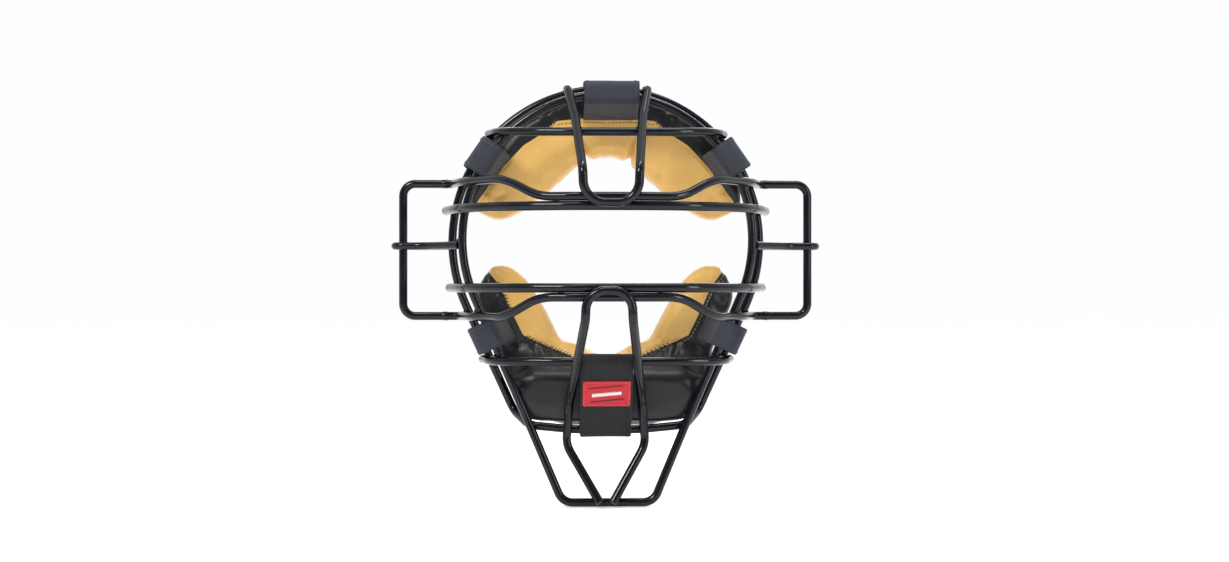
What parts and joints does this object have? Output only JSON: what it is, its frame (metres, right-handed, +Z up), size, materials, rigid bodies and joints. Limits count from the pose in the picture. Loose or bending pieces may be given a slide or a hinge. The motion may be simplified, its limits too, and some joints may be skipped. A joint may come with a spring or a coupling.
{
  "type": "baseball catcher's mask",
  "caption": "Welded wire face mask with ear guards and throat guard, padded at forehead, cheeks and chin.",
  "frame": {"origin": "centre of the face opening in the plane of the rear ring, at the height of the lower eye bar", "axes": "+Z up as worn, -Y forwards away from the face, +X to the viewer's right"},
  "size_m": [0.3174, 0.1429, 0.3103],
  "materials": {
    "coated_wire": "glossy black coat",
    "vinyl": "satin black vinyl",
    "tan_leather": "soft tan leather",
    "foam": "matte foam",
    "tab_fabric": "matte ribbed nylon",
    "label": "woven red label"
  },
  "bodies": {
    "root": {"front_ring": "coated_wire", "rear_ring": "coated_wire", "brow_bar": "coated_wire", "upper_eye_bar": "coated_wire", "lower_eye_bar": "coated_wire", "upper_wing_bar": "coated_wire", "lower_wing_bar": "coated_wire", "forehead_loop": "coated_wire", "nose_loop": "coated_wire", "chin_bar": "coated_wire", "left_ear_guard": "coated_wire", "right_ear_guard": "coated_wire", "left_ear_strut": "coated_wire", "right_ear_strut": "coated_wire", "upper_pad_foam": "foam", "upper_pad_cover": "vinyl", "upper_pad_lining": "tan_leather", "lower_pad_foam": "foam", "lower_pad_cover": "vinyl", "lower_pad_lining": "tan_leather", "top_tab": "tab_fabric", "upper_left_tab": "tab_fabric", "upper_right_tab": "tab_fabric", "lower_left_tab": "tab_fabric", "lower_right_tab": "tab_fabric", "chin_tab": "tab_fabric", "chin_label": "label"},
    "top_tail": {"top_tab_tail": "tab_fabric"},
    "upper_left_tail": {"upper_left_tab_tail": "tab_fabric"},
    "upper_right_tail": {"upper_right_tab_tail": "tab_fabric"},
    "lower_left_tail": {"lower_left_tab_tail": "tab_fabric"},
    "lower_right_tail": {"lower_right_tab_tail": "tab_fabric"},
    "chin_tail": {"chin_tab_tail": "tab_fabric"}
  },
  "joints": [
    {"name": "upper_right_tab_peel", "type": "hinge", "parent": "root", "child": "upper_right_tail", "pos_m": [0.09735, 0.0032, 0.09916], "axis": [0.5621, 0, -0.8271], "range_deg": [0, 110]},
    {"name": "lower_right_tab_peel", "type": "hinge", "parent": "root", "child": "lower_right_tail", "pos_m": [0.09625, 0.0032, -0.03973], "axis": [-0.4131, 0, -0.9107], "range_deg": [0, 110]},
    {"name": "top_tab_peel", "type": "hinge", "parent": "root", "child": "top_tail", "pos_m": [0.003, 0.0032, 0.1507], "axis": [1, 0, 0], "range_deg": [0, 110]},
    {"name": "upper_left_tab_peel", "type": "hinge", "parent": "root", "child": "upper_left_tail", "pos_m": [-0.09735, 0.0032, 0.09916], "axis": [0.5621, 0, 0.8271], "range_deg": [0, 110]},
    {"name": "lower_left_tab_peel", "type": "hinge", "parent": "root", "child": "lower_left_tail", "pos_m": [-0.09625, 0.0032, -0.03973], "axis": [-0.4131, 0, 0.9107], "range_deg": [0, 110]},
    {"name": "chin_tab_peel", "type": "hinge", "parent": "root", "child": "chin_tail", "pos_m": [-0.0014, -0.0206, -0.1075], "axis": [-1, 0, 0], "range_deg": [0, 110]}
  ]
}
